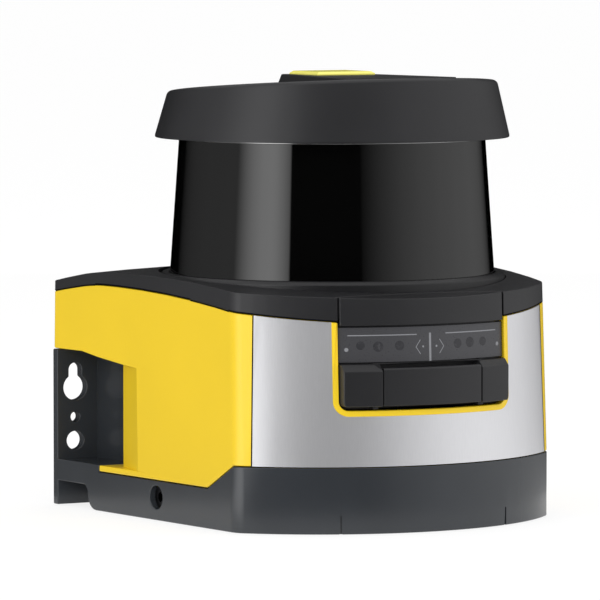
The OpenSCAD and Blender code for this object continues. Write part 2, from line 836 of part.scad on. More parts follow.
module usb_flap() {
    color("#343537") difference() {
        union() {
            intersection() {
                block_band(flap_t, block_z + 0.2, flap_top, 0.5);
                box([-flap_x, flap_x], [-cut, 0], [0, cut]);
            }
            for (b = barrels) {
                hinge_cylinder(b, barrel_r);
                box(b, [hinge_y - 1.4, hinge_y], [hinge_z - barrel_r, hinge_z + barrel_r]);
            }
        }
        for (k = knuckles) {
            hinge_cylinder([k[0] - joint_gap, k[1] + joint_gap], barrel_r + 0.25);
            box([k[0] - joint_gap, k[1] + joint_gap],
                [hinge_y - barrel_r - 0.25, hinge_y + 4], [hinge_z - 4, hinge_z + 1.4]);
        }
        hinge_cylinder([-9, 9], pin_d / 2 + 0.04);
    }
}

module flap_pin() {
    color("#b9bcc0") hinge_cylinder([knuckles[0][0], knuckles[2][1]], pin_d / 2);
}

module display_window() {
    x = display_x - joint_gap - 0.15;
    color("#4f4f52") intersection() {
        front_band(panel_z, panel_top, -1, -2.15);
        box([-x, x], [-cut, 0], [0, cut]);
    }
}

module display_module() {
    color("#1f2123") difference() {
        x = display_x - 4.9;
        box([-x, x], [board_y - 3, board_y], [panel_z + 1.7, panel_top - 1.7]);
        both() box([3, x - 4.8], [board_y - 4, board_y - 2.4], [panel_z + 3, panel_top - 3]);
    }
}

module display_board() {
    color("#2f6b45") {
        box([2.7 - display_x, display_x - 2.7], [board_y, board_y + board_t],
            [usb_z - 5.7, panel_top - 0.3]);
        for (x = [-20, -8, 14]) box([x - 4, x + 4], [board_y + board_t, board_y + board_t + 1.4],
            [panel_z - 0.9, panel_z + 6.1]);
    }
}

module status_leds() {
    color("#d8e0c0") for (x = [8.2 - display_x, -1.5, 1.5, display_x - 8.2])
        translate([x, board_y - 3, panel_z + 5.1])
        rotate([90, 0, 0]) {
            cylinder(h = 0.7, r = 0.9);
            translate([0, 0, 0.7]) cylinder(h = 0.4, r1 = 0.9, r2 = 0.5);
        }
}

module usb_socket() {
    color("#b9bcc0") difference() {
        box([-4.2, 4.2], [pocket_y, board_y], [usb_z - 1.8, usb_z + 1.8]);
        box([-3.6, 3.6], [pocket_y - 1, board_y - 1], [usb_z - 1.2, usb_z + 1.2]);
    }
    color("#2b2c2e") box([-2.8, 2.8], [pocket_y + 0.6, board_y - 1 + eps], [usb_z - 0.3, usb_z + 0.3]);
}

// ---------- optics head ----------

function window_at(z) = window_r
    - max(z - collar_top, 0) * (window_r - window_top_r) / (window_top - collar_top);
foot_z = seat_z + seal_t;
upper_z = plate_z - seal_t;
pillar_angle = 180 - window_angle - 0.3;
pillar_screw_a = 25;
pillar_r = window_r - 12.6;

module collar_ring() {
    r = window_r + joint_gap;
    color("#35363a") rotate_extrude($fn = 180) polygon([[r, seat_z], [collar_r, seat_z],
        [collar_r, collar_top - 1.2], [collar_r - 1, collar_top], [r, collar_top]]);
}

module window_seal() {
    color("#1a1a1b") turned(window_angle) translate([window_r - 4, seat_z]) square([4, seal_t]);
}

module optics_window() {
    z1 = foot_z + window_t;
    color("#101012") turned(window_angle) polygon([[window_r - 4, foot_z], [window_r, foot_z],
        [window_r, collar_top], [window_at(upper_z), upper_z],
        [window_at(upper_z) - window_t, upper_z], [window_r - window_t, collar_top],
        [window_r - window_t, z1], [window_r - 4, z1]]);
}

module upper_seal() {
    r = window_at(upper_z);
    color("#1a1a1b") turned(window_angle) translate([r - window_t, upper_z])
        square([window_t, seal_t]);
}

// Directions of the screws that hold the pillar to the deck and to the head plate.
module pillar_axes(r) {
    for (s = [-1, 1]) rotate([0, 0, 180 + s * pillar_screw_a]) translate([0, -r, 0]) children();
}

module rear_pillar() {
    color("#303133") difference() {
        turned(pillar_angle, 180) polygon([[pillar_r, seat_z], [window_r, seat_z],
            [window_r, collar_top], [window_at(plate_z), plate_z], [pillar_r, plate_z]]);
        pillar_axes(pillar_r + 4.5) translate([0, 0, plate_z - 15]) cylinder(h = 20, d = 4 + 2 * screw_fit);
        pillar_axes(pillar_r + 8) translate([0, 0, seat_z - 1])
            cylinder(h = 11, d = 4 + 2 * screw_fit);
        // channel for the drive's leads
        box([-7, 7], [pillar_r - 2, pillar_r + 5.5], [seat_z - 1, plate_z + 1]);
    }
}

module pillar_screws() {
    color("#b9bcc0") {
        pillar_axes(pillar_r + 4.5) translate([0, 0, plate_z - 12])
            screw(4, 12 + plate_t, 7, 3);
        pillar_axes(pillar_r + 8) translate([0, 0, seat_z + 9]) rotate([180, 0, 0])
            screw(4, 9 + wall, 6.6, 3);
    }
}

cap_screw_a = [0, 110, 250];
cap_screw_r = window_r - 10.6;

module cap_screw_axes() {
    for (a = cap_screw_a) rotate([0, 0, a]) translate([0, -cap_screw_r, 0]) children();
}

module head_plate() {
    color("#8b8e92") translate([0, 0, plate_z]) difference() {
        cylinder(h = plate_t, r = plate_r);
        translate([0, 0, -1]) {
            cylinder(h = plate_t + 2, d = tube_d + 0.2);
            pillar_axes(pillar_r + 4.5) cylinder(h = plate_t + 2, d = 4 + 2 * screw_fit);
            cap_screw_axes() cylinder(h = plate_t + 2, d = bolt_d + 2 * screw_fit);
            translate([-5, pillar_r - 8, 0]) cube([10, 8, plate_t + 2]);
        }
    }
}

// ---------- cap ----------

// Places its children on the sloping plane that lies drop below the cap's top.
module on_slope(drop) {
    translate([0, 0, cap_top - drop]) rotate([-atan(cap_slope), 0, 0]) children();
}

platform = [[21.3, 8.3 - cap_top_r], [13, 13]];

module cap() {
    color("#3b3c3e") difference() {
        union() {
            difference() {
                union() {
                    hull() {
                        translate([0, 0, window_top]) cylinder(h = 0.8, r = cap_r, $fn = 120);
                        on_slope(cap_edge_r) rotate_extrude($fn = 96)
                            translate([cap_top_r - cap_edge_r, 0]) circle(cap_edge_r, $fn = 24);
                    }
                    hull() for (s = [-1, 1], p = platform)
                        translate([s * (p[0] - 1.6), p[1] + (p[1] < 0 ? 1.6 : -1.6),
                            platform_z - 8.8])
                            cylinder(h = 8.8, r1 = 5, r2 = 1.6, $fn = facets);
                }
                intersection() {
                    translate([0, 0, window_top - 1]) cylinder(h = 20, r1 = cap_r - wall + 0.2,
                        r2 = cap_top_r - wall - 0.4);
                    on_slope(wall) translate([-cut, -cut, -60]) cube([2 * cut, 2 * cut, 60]);
                }
            }
            for (a = cap_screw_a) {
                y = -cap_screw_r * cos(a);
                rotate([0, 0, a]) translate([0, -cap_screw_r, flange_z])
                    cylinder(h = cap_top - wall - cap_slope * y + 0.8 - flange_z, d = 8);
            }
        }
        cap_screw_axes() translate([0, 0, flange_z - 1])
            cylinder(h = 7.5, d = bolt_d + 2 * screw_fit);
    }
}

module cap_screws() {
    color("#b9bcc0") cap_screw_axes() translate([0, 0, flange_z + 6]) rotate([180, 0, 0])
        screw(bolt_d, plate_t + 6, bolt_d + 2.4, 2);
}

module top_marker() {
    color("#e8d92f") hull() {
        translate([-marker_x, -10, platform_z]) cube([2 * marker_x, 20, 0.5]);
        translate([1 - marker_x, -9, platform_z]) cube([2 * marker_x - 2, 18,
            marker_z - platform_z]);
    }
}

// ---------- drive and mirror ----------

module motor_flange() {
    r = tube_d / 2;
    b = bearing_d / 2;
    z = tube_z + 0.5;
    color("#a8abae") rotate_extrude() polygon([[b - 1.2, tube_z], [r, tube_z], [r, flange_z],
        [bell_d / 2 - 0.5, flange_z], [bell_d / 2 - 0.5, flange_z + 1.5], [r, flange_z + 1.5], [r, tube_top], [b, tube_top],
        [b, tube_top - bearing_w], [b - 1, tube_top - bearing_w], [b - 1, z + bearing_w],
        [b, z + bearing_w], [b, z], [b - 1.2, z]]);
}

stator_r = bell_d / 2 - 2.9;
coil_r = tube_d / 2 + 4.1;

module stator_core() {
    z = flange_z + 2.1;
    color("#6d7074") difference() {
        union() {
            ring(coil_r - 0.6, tube_d / 2, z, z + 3.2);
            intersection() {
                ring(stator_r, tube_d / 2 + 1.5, z, z + 3.2);
                for (i = [0:teeth - 1]) rotate([0, 0, i * 360 / teeth]) union() {
                    translate([0, -1.6, z]) cube([30, 3.2, 3.2]);
                    translate([stator_r - 1.2, -4.2, z]) cube([4, 8.4, 3.2]);
                }
            }
        }
        cylinder(h = cut * 2, d = tube_d);
    }
    color("#b4713a") for (i = [0:teeth - 1]) rotate([0, 0, i * 360 / teeth])
        translate([coil_r, -2.6, z - 0.5]) cube([stator_r - 1.6 - coil_r, 5.2, 4.2]);
}

module motor_bell() {
    s = shaft_d / 2;
    r = bell_d / 2;
    color("#9b9ea2") rotate_extrude() polygon([[s, tube_top + 0.3], [s + 2, tube_top + 0.3],
        [s + 2, bell_top - 1.2], [r - 2, bell_top - 1.2], [r - 2, bell_z], [r, bell_z],
        [r, bell_top - 0.6], [r - 0.6, bell_top], [s, bell_top]]);
}

// A shielded ball bearing, lower face at z.
module bearing(z) {
    i = shaft_d / 2 + run_fit;
    o = bearing_d / 2;
    m = (i + o) / 2;
    color("#c4c7cb") translate([0, 0, z]) rotate_extrude() polygon([[i, 0], [m - 1, 0],
        [m - 0.8, 0.3], [m + 0.8, 0.3], [m + 1, 0], [o, 0], [o, bearing_w], [m + 1, bearing_w],
        [m + 0.8, bearing_w - 0.3], [m - 0.8, bearing_w - 0.3], [m - 1, bearing_w],
        [i, bearing_w]]);
}

module bearing_upper() {
    bearing(tube_top - bearing_w);
}

module bearing_lower() {
    bearing(tube_z + 0.5);
}

module mirror_shaft() {
    color("#c4c7cb") translate([0, 0, holder_top - 10])
        cylinder(h = bell_top - holder_top + 10, d = shaft_d);
}

module encoder_disc() {
    z = holder_top + 1.2;
    color("#7d8084") difference() {
        union() {
            translate([0, 0, z]) cylinder(h = 0.8, r = encoder_r);
            translate([0, 0, holder_top]) cylinder(h = 2.3, r = 6);
        }
        translate([0, 0, holder_top - 1]) cylinder(h = 6, d = shaft_d);
        for (i = [0:encoder_slots - 1]) rotate([0, 0, i * 360 / encoder_slots])
            translate([encoder_r - 4, -1, z - 1]) cube([3, 2, 3]);
    }
}

module encoder_sensor() {
    color("#232426") difference() {
        box([encoder_r - 5, encoder_r + 3.5], [-4, 4], [holder_top - 1, plate_z]);
        box([encoder_r - 6, encoder_r + 1], [-5, 5], [holder_top + 0.6, holder_top + 2.6]);
    }
}

// Half space behind the mirror, starting t above its reflecting face.
module behind_mirror(t, h) {
    translate([0, 0, scan_z]) rotate([-45, 0, 0]) translate([-40, -40, t]) cube([80, 80, h]);
}

module mirror_holder() {
    color("#26272a") difference() {
        intersection() {
            translate([0, 0, scan_z - mirror_r]) cylinder(h = holder_top - scan_z + mirror_r,
                r = mirror_r);
            behind_mirror(mirror_t, 60);
        }
        translate([0, 0, scan_z]) cylinder(h = 30, d = shaft_d);
        both() translate([9, 4, holder_top - 6]) cylinder(h = 10, d = 7);
    }
}

module scan_mirror() {
    color("#d5dade") intersection() {
        translate([0, 0, scan_z - mirror_r]) cylinder(h = holder_top - scan_z + mirror_r,
            r = mirror_r - 0.4);
        behind_mirror(0, mirror_t);
    }
}

// ---------- receiver and laser ----------

lens_t = 4;

module optics_carrier() {
    r = barrel_d / 2;
    color("#2c2d30") {
        difference() {
            box([-board_x - 4.6, board_x + 4.6], [-22, 27], [carrier_z, board_foot]);
            box([-18.3, 18.3], [-17.3, -0.7], [0, 30]);
        }
        for (s = [-1, 1], p = [[20.5, 4], [9, 19.6], [9, -20.2]])
            translate([s * p[0], p[1], board_foot - eps])
                cylinder(h = barrel_z - board_foot + 2 * eps, d = 4);
        difference() {
            union() {
                ring(r, hood_r, barrel_z, lens_z + lens_t);
                ring(r + 3, hood_r, barrel_z, barrel_z + 3);
                ring(hood_r + 1, hood_r - 2.5, sensor_z - 1.6, sensor_z);
                ring(laser_d / 2 + 2, laser_d / 2 + screw_fit, laser_z + 2, laser_z + 8);
                for (a = [90, 210, 330]) rotate([0, 0, a])
                    box([laser_d / 2 + 1, hood_r + 1], [-0.8, 0.8], [laser_z + 2, laser_z + 8]);
            }
            translate([0, 0, lens_z]) cylinder(h = 20, d = lens_d + 0.1);
            box([-6, 6], [10, 40], [barrel_z + 4, sensor_z - 3]);
        }
        for (x = [-1, 1], y = [-22, 23.5]) difference() {
            box([x * (board_x + board_t / 2) - 2.6, x * (board_x + board_t / 2) + 2.6],
                [y, y + 3.5], [board_foot - eps, board_foot + 14.5]);
            box([x * (board_x + board_t / 2) - board_t / 2 - 0.05,
                x * (board_x + board_t / 2) + board_t / 2 + 0.05],
                [y > 0 ? y - 1 : y + 1, y > 0 ? y + 2.5 : y + 5], [board_foot, cut]);
        }
    }
}

// Plano-convex lens with a hole for the laser beam.
module receiver_lens() {
    r = lens_d / 2;
    n = 8;
    bulge = 4.5;
    big = (r * r + bulge * bulge) / (2 * bulge);
    color("#9fb4bd") translate([0, 0, lens_z]) rotate_extrude() polygon(concat(
        [[beam_d / 2 + 0.2, 0], [r, 0]],
        [for (i = [0:n]) let(x = r - (r - beam_d / 2 - 0.2) * i / n)
            [x, 1.5 + bulge - big + sqrt(big * big - x * x)]]));
}

module beam_tube() {
    z = laser_z + laser_l;
    color("#2c2d30") ring(beam_d / 2, beam_d / 2 - 1, z, beam_top);
}

module laser_module() {
    color("#b08d3c") translate([0, 0, laser_z]) difference() {
        union() {
            cylinder(h = laser_l, d = laser_d);
            translate([0, 0, -1.5]) cylinder(h = 2, d = laser_d - 3);
        }
        translate([0, 0, laser_l - 4]) cylinder(h = 5, d = 3);
    }
}

module receiver_board() {
    color("#2f6b45") translate([0, 0, sensor_z]) {
        cylinder(h = board_t, r = hood_r - 0.2);
        for (s = [-1, 1]) translate([s * 9, 0, board_t]) chip(0, 0, 4, 6, 1.2);
    }
}

module photodiode() {
    color("#c9b26a") translate([0, 0, sensor_z + board_t]) difference() {
        union() {
            cylinder(h = 0.6, d = 9);
            cylinder(h = 3.4, d = 8);
        }
        translate([0, 0, 2.6]) cylinder(h = 2, d = 5);
    }
}

// Upright board in the carrier's rails; side is -1 for left, 1 for right.
module upright_board(side) {
    x0 = side * (board_x + board_t / 2);
    box([x0 - board_t / 2, x0 + board_t / 2], [-21, 26], [board_foot, board_top]);
    for (p = [[-12, board_foot + 10.5, 9, 9], [4, board_foot + 14.5, 12, 12],
            [-6, board_top - 14, 14, 7], [14, board_top - 12, 7, 8]])
        box([x0 - (side > 0 ? 0 : board_t / 2 + 1.4), x0 + (side > 0 ? board_t / 2 + 1.4 : 0)],
            [p[0], p[0] + p[2]], [p[1], p[1] + p[3]]);
}

module main_board() {
    color("#2f6b45") upright_board(-1);
}

module power_board() {
    color("#2f6b45") upright_board(1);
    color("#26272a") for (y = [-14, 14]) translate([board_x, y, board_foot + 24.5]) rotate([0, -90, 0])
        cylinder(h = 9, d = 8);
}

// Emitters and receivers that watch the window for dirt.
module monitor_sensors() {
    color("#232426") for (a = [-100, -60, -20, 20, 60, 100]) rotate([0, 0, a])
        difference() {
            box([-4, 4], [4.4 - window_r, 10 - window_r], [seat_z, seat_z + 5]);
            translate([0, 7 - window_r, seat_z + 3]) cylinder(h = 4, d = 3.4);
        }
}

connection_base();
base_lid();
lid_screws();
connection_board();
config_memory();
base_plug();
interface_seal();
cable_grommets();
terminal_block();
lock_screws();
housing_shell();
housing_bolts();
unit_socket();
front_foil();
top_cover();
display_bezel();
display_window();
display_module();
display_board();
status_leds();
usb_socket();
usb_flap();
flap_pin();
collar_ring();
window_seal();
optics_window();
upper_seal();
rear_pillar();
pillar_screws();
head_plate();
cap();
cap_screws();
top_marker();
motor_flange();
stator_core();
motor_bell();
bearing_upper();
bearing_lower();
mirror_shaft();
encoder_disc();
encoder_sensor();
mirror_holder();
scan_mirror();
optics_carrier();
receiver_lens();
beam_tube();
laser_module();
receiver_board();
photodiode();
main_board();
power_board();
monitor_sensors();
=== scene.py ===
"""Safety laser scanner: finishes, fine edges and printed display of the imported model."""
import json
import math
from collections import namedtuple

import bmesh
import bpy
from bpy.props import FloatProperty, FloatVectorProperty, PointerProperty
from mathutils import Matrix, Vector
from mathutils.bvhtree import BVHTree


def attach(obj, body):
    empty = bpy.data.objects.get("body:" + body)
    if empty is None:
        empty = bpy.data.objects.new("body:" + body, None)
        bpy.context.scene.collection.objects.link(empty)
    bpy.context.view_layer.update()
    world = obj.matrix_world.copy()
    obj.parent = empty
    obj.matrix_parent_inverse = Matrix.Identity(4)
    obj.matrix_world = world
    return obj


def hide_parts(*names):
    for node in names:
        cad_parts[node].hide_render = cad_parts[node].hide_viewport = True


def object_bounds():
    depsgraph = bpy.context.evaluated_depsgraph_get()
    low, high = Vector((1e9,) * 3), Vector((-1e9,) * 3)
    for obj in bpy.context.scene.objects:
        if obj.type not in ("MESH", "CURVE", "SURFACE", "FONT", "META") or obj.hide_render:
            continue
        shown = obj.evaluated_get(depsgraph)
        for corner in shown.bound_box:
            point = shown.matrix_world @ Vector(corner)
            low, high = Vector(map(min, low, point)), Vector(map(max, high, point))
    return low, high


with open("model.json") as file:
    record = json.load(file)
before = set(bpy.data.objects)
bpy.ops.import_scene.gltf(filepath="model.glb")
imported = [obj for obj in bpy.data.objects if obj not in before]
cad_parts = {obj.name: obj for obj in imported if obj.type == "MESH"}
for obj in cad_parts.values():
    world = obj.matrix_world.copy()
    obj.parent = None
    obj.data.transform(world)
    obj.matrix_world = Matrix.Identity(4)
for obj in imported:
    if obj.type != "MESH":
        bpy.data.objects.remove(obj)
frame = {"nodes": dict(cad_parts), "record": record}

bl_info = {
    "name": "Safety Laser Scanner",
    "version": (1, 0, 0),
    "blender": (4, 5, 0),
    "location": "View3D > Sidebar > Scanner",
    "description": "Dresses a safety laser scanner with its finishes and fine detail",
    "category": "Object",
}

CAD_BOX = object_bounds()
MM = 0.001
NODES = frame["nodes"]
BODY_OF = {n: body for body, names in frame["record"]["behaviour"]["bodies"].items() for n in names}
SLOT_OF = {s["node"]: s["material_slot"] for s in frame["record"]["subparts"]}


# ---------------------------------------------------------------- colours and nodes

def srgb(hex_code):
    """A colour written as sRGB hex, turned to the linear values that shaders take."""
    parts = [int(hex_code[i:i + 2], 16) / 255 for i in (1, 3, 5)]
    return tuple(c / 12.92 if c <= 0.04045 else ((c + 0.055) / 1.055) ** 2.4 for c in parts)


def rgba(colour, factor=1.0):
    """A shader colour from a hex code or a linear colour, made lighter or darker by a factor."""
    linear = srgb(colour) if isinstance(colour, str) else colour
    return (*(min(c * factor, 1.0) for c in linear), 1.0)


def colour_property(name, hex_code, description):
    """A colour that the panel shows, with its default in sRGB hex."""
    return FloatVectorProperty(name=name, description=description, default=srgb(hex_code),
                               subtype="COLOR", size=3, min=0.0, max=1.0)


def size_property(name, millimetres, description):
    """A length that the panel shows, with its default in millimetres."""
    return FloatProperty(name=name, description=description, default=millimetres * MM,
                         unit="LENGTH", min=0.0, precision=5)


class ScannerColours(bpy.types.PropertyGroup):
    """Colours of the finishes that show"""
    anthracite: colour_property("Anthracite", "#2f3236", "Powder coat of the connection unit")
    yellow: colour_property("Yellow", "#e8c520", "Paint of the scanning unit's housing")
    charcoal: colour_property("Charcoal", "#212123", "Cap, deck and display surround")
    window: colour_property("Window", "#050505", "Smoked optics window")
    foil: colour_property("Foil", "#e8e8eb", "Silver film round the front")
    pane: colour_property("Pane", "#3f3f42", "Smoked pane over the display")
    print: colour_property("Print", "#808185", "Lines and dots printed on the pane")
    marker: colour_property("Marker", "#a1962f", "Direction marker on the cap")


class ScannerSizes(bpy.types.PropertyGroup):
    """Sizes of the fine detail"""
    casting_edge: size_property("Casting Edge", 0.35, "Edge radius of the castings")
    moulding_edge: size_property("Moulding Edge", 0.3, "Edge radius of the moulded parts")
    flap_edge: size_property("Flap Edge", 0.2, "Edge radius of the flap over the socket")
    fine_edge: size_property("Fine Edge", 0.12, "Edge radius of the marker, pane and screws")
    foil_edge: size_property("Foil Edge", 0.06, "Edge radius of the silver film")
    bead: size_property("Bead", 0.4, "Radius of the bead under the cap")
    seam: size_property("Seam", 0.4, "Width of the shadow lines at the joints")
    print_line: size_property("Print Line", 0.35, "Width of the printed lines")
    print_lift: size_property("Print Lift", 0.02, "Height of the print over the pane")


def add_node(tree, kind, settings=None, links=None):
    """One shader node; a setting names a property or an input, a link an input and its source."""
    node = tree.nodes.new(kind)
    for key, value in (settings or {}).items():
        if isinstance(key, int) or key in node.inputs:
            node.inputs[key].default_value = value
        else:
            setattr(node, key, value)
    for key, source in (links or {}).items():
        tree.links.new(source, node.inputs[key])
    return node


def new_material(name, settings):
    """A material with one Principled shader; returns the material, its tree and the shader."""
    material = bpy.data.materials.new(name)
    material.use_nodes = True
    tree = material.node_tree
    shader = tree.nodes["Principled BSDF"]
    for key, value in settings.items():
        shader.inputs[key].default_value = value
    return material, tree, shader


def object_coords(tree, scale=(1, 1, 1)):
    """Object coordinates in millimetres, stretched by scale."""
    coords = add_node(tree, "ShaderNodeTexCoord")
    mapping = add_node(tree, "ShaderNodeMapping", {"Scale": [s / MM for s in scale]},
                       {"Vector": coords.outputs["Object"]})
    return mapping.outputs["Vector"]


def ramp(tree, factor, stops):
    """A colour ramp through (position, colour) stops."""
    node = add_node(tree, "ShaderNodeValToRGB", links={"Fac": factor})
    elements = node.color_ramp.elements
    while len(elements) < len(stops):
        elements.new(0.5)
    for element, (position, colour) in zip(elements, stops):
        element.position = position
        element.color = colour
    return node.outputs["Color"]


def spread(tree, value, low, high, out_low, out_high):
    """Maps a texture's value from one range to another."""
    node = add_node(tree, "ShaderNodeMapRange", {"From Min": low, "From Max": high,
                                                 "To Min": out_low, "To Max": out_high},
                    {"Value": value})
    return node.outputs["Result"]


def grained(name, settings, colour, vary, grain_mm, bump, rough, patch_mm=30, strength=0.25):
    """A moulded or painted surface: fine grain in relief, with slow changes of tone and gloss."""
    material, tree, shader = new_material(name, settings)
    coords = object_coords(tree)
    grain = add_node(tree, "ShaderNodeTexNoise", {"Scale": 1 / grain_mm, "Detail": 3,
                                                  "Roughness": 0.6}, {"Vector": coords})
    patches = add_node(tree, "ShaderNodeTexNoise", {"Scale": 1 / patch_mm, "Detail": 2},
                       {"Vector": coords})
    tone = add_node(tree, "ShaderNodeMath", {"operation": "MULTIPLY_ADD", 1: strength},
                    {0: grain.outputs["Fac"], 2: patches.outputs["Fac"]})
    tree.links.new(ramp(tree, tone.outputs[0], [(0.35, rgba(colour, 1 - vary)),
                                                (0.9, rgba(colour, 1 + vary))]),
                   shader.inputs["Base Color"])
    tree.links.new(spread(tree, grain.outputs["Fac"], 0.3, 0.7, rough[0], rough[1]),
                   shader.inputs["Roughness"])
    relief = add_node(tree, "ShaderNodeBump", {"Strength": bump, "Distance": 0.05 * MM},
                      {"Height": grain.outputs["Fac"]})
    tree.links.new(relief.outputs["Normal"], shader.inputs["Normal"])
    return material


# ---------------------------------------------------------------- materials

def colours():
    """The finishes' colours as set in the scene."""
    return bpy.context.scene.scanner_colours


def anthracite_powder_coat():
    """Powder coat on die-cast aluminium: dark blue-grey, orange peel of about half a millimetre."""
    return grained("anthracite_powder_coat", {"IOR": 1.5}, colours().anthracite,
                   vary=0.12, grain_mm=0.45, bump=0.15, rough=(0.18, 0.26))


def yellow_paint():
    """Two-layer satin paint on die-cast aluminium: warm signal yellow, very slight orange peel."""
    return grained("yellow_paint", {"IOR": 1.5, "Specular IOR Level": 0.5}, colours().yellow,
                   vary=0.04, grain_mm=1.2, bump=0.08, rough=(0.19, 0.24), patch_mm=45,
                   strength=0.12)


def charcoal_abs():
    """Moulded ABS with a spark-eroded grain of about a third of a millimetre: dull charcoal."""
    return grained("charcoal_abs", {"IOR": 1.53, "Specular IOR Level": 0.4}, colours().charcoal,
                   vary=0.12, grain_mm=0.35, bump=0.35, rough=(0.38, 0.5))


def black_pbt():
    """Glass-filled PBT, as in connectors and carriers: near black, a little shiny."""
    return grained("black_pbt", {"IOR": 1.57, "Specular IOR Level": 0.4}, srgb("#19191b"),
                   vary=0.15, grain_mm=0.6, bump=0.2, rough=(0.36, 0.48))


def smoked_polycarbonate():
    """Infrared-passing polycarbonate, polished: deep black with a faint brown cast."""
    material, tree, shader = new_material("smoked_polycarbonate", {
        "Base Color": rgba(colours().window), "IOR": 1.58})
    coords = object_coords(tree)
    haze = add_node(tree, "ShaderNodeTexNoise", {"Scale": 1 / 18, "Detail": 3}, {"Vector": coords})
    tree.links.new(spread(tree, haze.outputs["Fac"], 0.3, 0.7, 0.02, 0.035),
                   shader.inputs["Roughness"])
    return material


def polished_bead():
    """Bead in light metallic grey on the black window's top edge: a painted highlight, which also
    picks up the lamps as one thin bright line.
    """
    material, tree, shader = new_material("polished_bead", {"Metallic": 0.9})
    coords = object_coords(tree)
    haze = add_node(tree, "ShaderNodeTexNoise", {"Scale": 1 / 12, "Detail": 2},
                    {"Vector": coords})
    tree.links.new(ramp(tree, haze.outputs["Fac"], [(0.3, rgba("#8e8e8e")),
                                                    (0.7, rgba("#9c9c9c"))]),
                   shader.inputs["Base Color"])
    tree.links.new(spread(tree, haze.outputs["Fac"], 0.3, 0.7, 0.1, 0.16),
                   shader.inputs["Roughness"])
    return material


def frosted_pane():
    """Smoked acrylic pane over the display: mid grey, lightly matted by its front film."""
    return grained("frosted_pane", {"IOR": 1.49, "Specular IOR Level": 0.4}, colours().pane,
                   vary=0.06, grain_mm=0.5, bump=0.05, rough=(0.26, 0.34))


def silver_film():
    """Silver polyester film: metallic print with fine upright brush marks, which smear what it
    reflects sideways, under a satin lacquer."""
    material, tree, shader = new_material("silver_film", {
        "Metallic": 0.74, "Anisotropic": 0.75, "Coat Weight": 0.1, "Coat Roughness": 0.3})
    coords = object_coords(tree, (1, 1, 0.03))
    brush = add_node(tree, "ShaderNodeTexNoise", {"Scale": 5.0, "Detail": 3, "Roughness": 0.6},
                     {"Vector": coords})
    tree.links.new(ramp(tree, brush.outputs["Fac"], [(0.3, rgba(colours().foil, 0.975)),
                                                     (0.7, rgba(colours().foil, 1.025))]),
                   shader.inputs["Base Color"])
    tree.links.new(spread(tree, brush.outputs["Fac"], 0.3, 0.7, 0.275, 0.305),
                   shader.inputs["Roughness"])
    across = add_node(tree, "ShaderNodeTangent", {"direction_type": "RADIAL", "axis": "Z"})
    tree.links.new(across.outputs["Tangent"], shader.inputs["Tangent"])
    return material


def nitrile_rubber():
    """Nitrile rubber: matt black with a dusty bloom."""
    return grained("nitrile_rubber", {"IOR": 1.52, "Specular IOR Level": 0.3}, srgb("#161618"),
                   vary=0.2, grain_mm=0.8, bump=0.3, rough=(0.6, 0.75))


def joint_gasket():
    """Near-black matt finish of the strips laid beside the joints: painted shadow of the joints'
    gaps, reading as a nearly black line.
    """
    return grained("joint_gasket", {"IOR": 1.45, "Specular IOR Level": 0.1}, srgb("#070708"),
                   vary=0.3, grain_mm=0.6, bump=0.2, rough=(0.8, 0.9))


def marker_yellow():
    """Translucent yellow acrylic marker with a moulded, slightly waxy surface."""
    return grained("marker_yellow", {"IOR": 1.49, "Subsurface Weight": 0.15,
                                     "Subsurface Radius": (0.001, 0.001, 0.0005)},
                   colours().marker, vary=0.05, grain_mm=0.8, bump=0.1, rough=(0.3, 0.38))


def turned_metal(name, dark, light, rough, scale=6.0):
    """Bare metal with fine turning marks that run round the upright axis."""
    material, tree, shader = new_material(name, {"Metallic": 1.0})
    coords = object_coords(tree, (0.15, 0.15, 1))
    marks = add_node(tree, "ShaderNodeTexNoise", {"Scale": scale, "Detail": 4}, {"Vector": coords})
    tree.links.new(ramp(tree, marks.outputs["Fac"], [(0.3, rgba(dark)), (0.7, rgba(light))]),
                   shader.inputs["Base Color"])
    tree.links.new(spread(tree, marks.outputs["Fac"], 0.3, 0.7, rough - 0.06, rough + 0.06),
                   shader.inputs["Roughness"])
    return material


def zinc_plated_steel():
    """Bright zinc on steel screws: cool silver, faint turning marks."""
    return turned_metal("zinc_plated_steel", "#a9adb2", "#c3c6ca", 0.28)


def black_oxide_steel():
    """Black oxide on hardened steel socket screws: oily near-black metal."""
    return turned_metal("black_oxide_steel", "#1a1a1c", "#2b2b2e", 0.4)


def machined_aluminium():
    """Machined aluminium: pale grey with visible tool marks."""
    return turned_metal("machined_aluminium", "#a3a5a8", "#bbbdc0", 0.34)


def turned_brass():
    """Turned brass of the laser module: warm yellow metal."""
    return turned_metal("turned_brass", "#a98842", "#c6a55c", 0.26)


def enamelled_copper():
    """Enamelled copper winding wire: orange-brown, strands of about 0.4 mm."""
    material, tree, shader = new_material("enamelled_copper", {
        "Metallic": 0.8, "Roughness": 0.32, "Coat Weight": 0.4})
    coords = object_coords(tree)
    strands = add_node(tree, "ShaderNodeTexWave", {"bands_direction": "Z", "Scale": 0.8},
                       {"Vector": coords})
    tree.links.new(ramp(tree, strands.outputs["Fac"], [(0.2, rgba("#7a3f1c")),
                                                       (0.8, rgba("#c47a42"))]),
                   shader.inputs["Base Color"])
    relief = add_node(tree, "ShaderNodeBump", {"Strength": 0.5, "Distance": 0.1 * MM},
                      {"Height": strands.outputs["Fac"]})
    tree.links.new(relief.outputs["Normal"], shader.inputs["Normal"])
    return material


